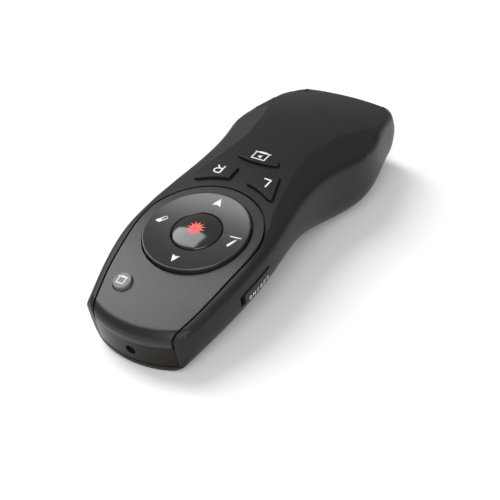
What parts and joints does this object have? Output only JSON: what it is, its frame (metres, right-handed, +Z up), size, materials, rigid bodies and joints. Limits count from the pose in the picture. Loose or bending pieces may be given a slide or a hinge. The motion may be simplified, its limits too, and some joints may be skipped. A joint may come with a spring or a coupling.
{
  "type": "presentation_clicker",
  "caption": "Hand-held wireless presentation clicker with a tilting navigation ring, a central laser button, press keys, a side power switch and a battery door holding a USB receiver",
  "frame": {"origin": "under the middle of the clicker, on the table it lies on", "axes": "+Y runs towards the battery end, the laser nose being at -Y; +Z is up, out of the key side; +X is the side with the power switch"},
  "size_m": [0.0426, 0.1146, 0.0263],
  "materials": {
    "soft_plastic": "dark grey soft-touch, fine grain",
    "panel_plastic": "graphite grey satin",
    "key_plastic": "dark grey satin",
    "tab_plastic": "mid grey satin",
    "ring_plastic": "semi-gloss dark grey",
    "button_plastic": "glossy dark grey",
    "window_plastic": "smoked brown, glossy",
    "inner_plastic": "plain moulded",
    "board_laminate": "green solder mask",
    "chip_epoxy": "moulded epoxy",
    "spring_steel": "bright",
    "screw_steel": "zinc plated",
    "barrel_brass": "turned",
    "lens_acrylic": "clear",
    "can_steel": "plated can",
    "sleeve_film": "printed film, plain grey",
    "contact_nickel": "nickel plated",
    "usb_steel": "nickel plated"
  },
  "bodies": {
    "housing": {"top_shell": "soft_plastic", "bottom_shell": "soft_plastic", "control_panel": "panel_plastic", "nose_window": "window_plastic", "switch_body": "contact_nickel", "button_guide": "inner_plastic", "main_board": "board_laminate", "dome_contacts": "contact_nickel", "control_chip": "chip_epoxy", "radio_chip": "chip_epoxy", "board_crystal": "contact_nickel", "board_antenna": "tab_plastic", "board_small_parts": "chip_epoxy", "board_capacitors": "can_steel", "laser_barrel": "barrel_brass", "laser_lens": "lens_acrylic", "laser_diode": "can_steel", "laser_leads": "contact_nickel", "left_cell_can": "can_steel", "right_cell_can": "can_steel", "left_cell_sleeve": "sleeve_film", "right_cell_sleeve": "sleeve_film", "front_contacts": "contact_nickel", "rear_contact_link": "contact_nickel", "battery_springs": "spring_steel", "shell_screws": "screw_steel"},
    "ring_gimbal_body": {"ring_gimbal": "inner_plastic"},
    "nav_ring_body": {"nav_ring": "ring_plastic"},
    "laser_button_body": {"laser_button": "button_plastic"},
    "left_key_body": {"left_key": "key_plastic"},
    "right_key_body": {"right_key": "key_plastic"},
    "screen_key_body": {"screen_key": "key_plastic"},
    "tab_key_body": {"tab_key": "tab_plastic"},
    "power_knob_body": {"power_knob": "key_plastic", "switch_lever": "inner_plastic"},
    "door_body": {"battery_door": "soft_plastic", "receiver_shell": "usb_steel", "receiver_tongue": "inner_plastic", "receiver_cap": "key_plastic"}
  },
  "joints": [
    {"name": "ring_tilt_fore_aft", "type": "hinge", "parent": "housing", "child": "ring_gimbal_body", "pos_m": [0, -0.02508, 0.01822], "axis": [1, 0, 0], "range_deg": [-2.5, 2.5], "stiffness_Nm_per_rad": 0.3},
    {"name": "ring_tilt_side", "type": "hinge", "parent": "ring_gimbal_body", "child": "nav_ring_body", "pos_m": [0, -0.02508, 0.01822], "axis": [0, 0.9848, 0.1736], "range_deg": [-2.5, 2.5], "stiffness_Nm_per_rad": 0.3},
    {"name": "laser_button_press", "type": "slide", "parent": "housing", "child": "laser_button_body", "axis": [0, 0.1736, -0.9848], "range_m": [0, 0.0005], "stiffness_N_per_m": 600},
    {"name": "left_key_press", "type": "slide", "parent": "housing", "child": "left_key_body", "axis": [0, 0.1736, -0.9848], "range_m": [0, 0.0005], "stiffness_N_per_m": 600},
    {"name": "right_key_press", "type": "slide", "parent": "housing", "child": "right_key_body", "axis": [0, 0.1736, -0.9848], "range_m": [0, 0.0005], "stiffness_N_per_m": 600},
    {"name": "screen_key_press", "type": "slide", "parent": "housing", "child": "screen_key_body", "axis": [0, 0.1736, -0.9848], "range_m": [0, 0.0005], "stiffness_N_per_m": 600},
    {"name": "tab_key_press", "type": "slide", "parent": "housing", "child": "tab_key_body", "axis": [0, 0.1736, -0.9848], "range_m": [0, 0.0005], "stiffness_N_per_m": 600},
    {"name": "power_slide", "type": "slide", "parent": "housing", "child": "power_knob_body", "axis": [0, -0.9848, -0.1736], "range_m": [0, 0.0013]},
    {"name": "battery_door_slide", "type": "slide", "parent": "housing", "child": "door_body", "axis": [0, 1, 0], "range_m": [0, 0.003]}
  ]
}
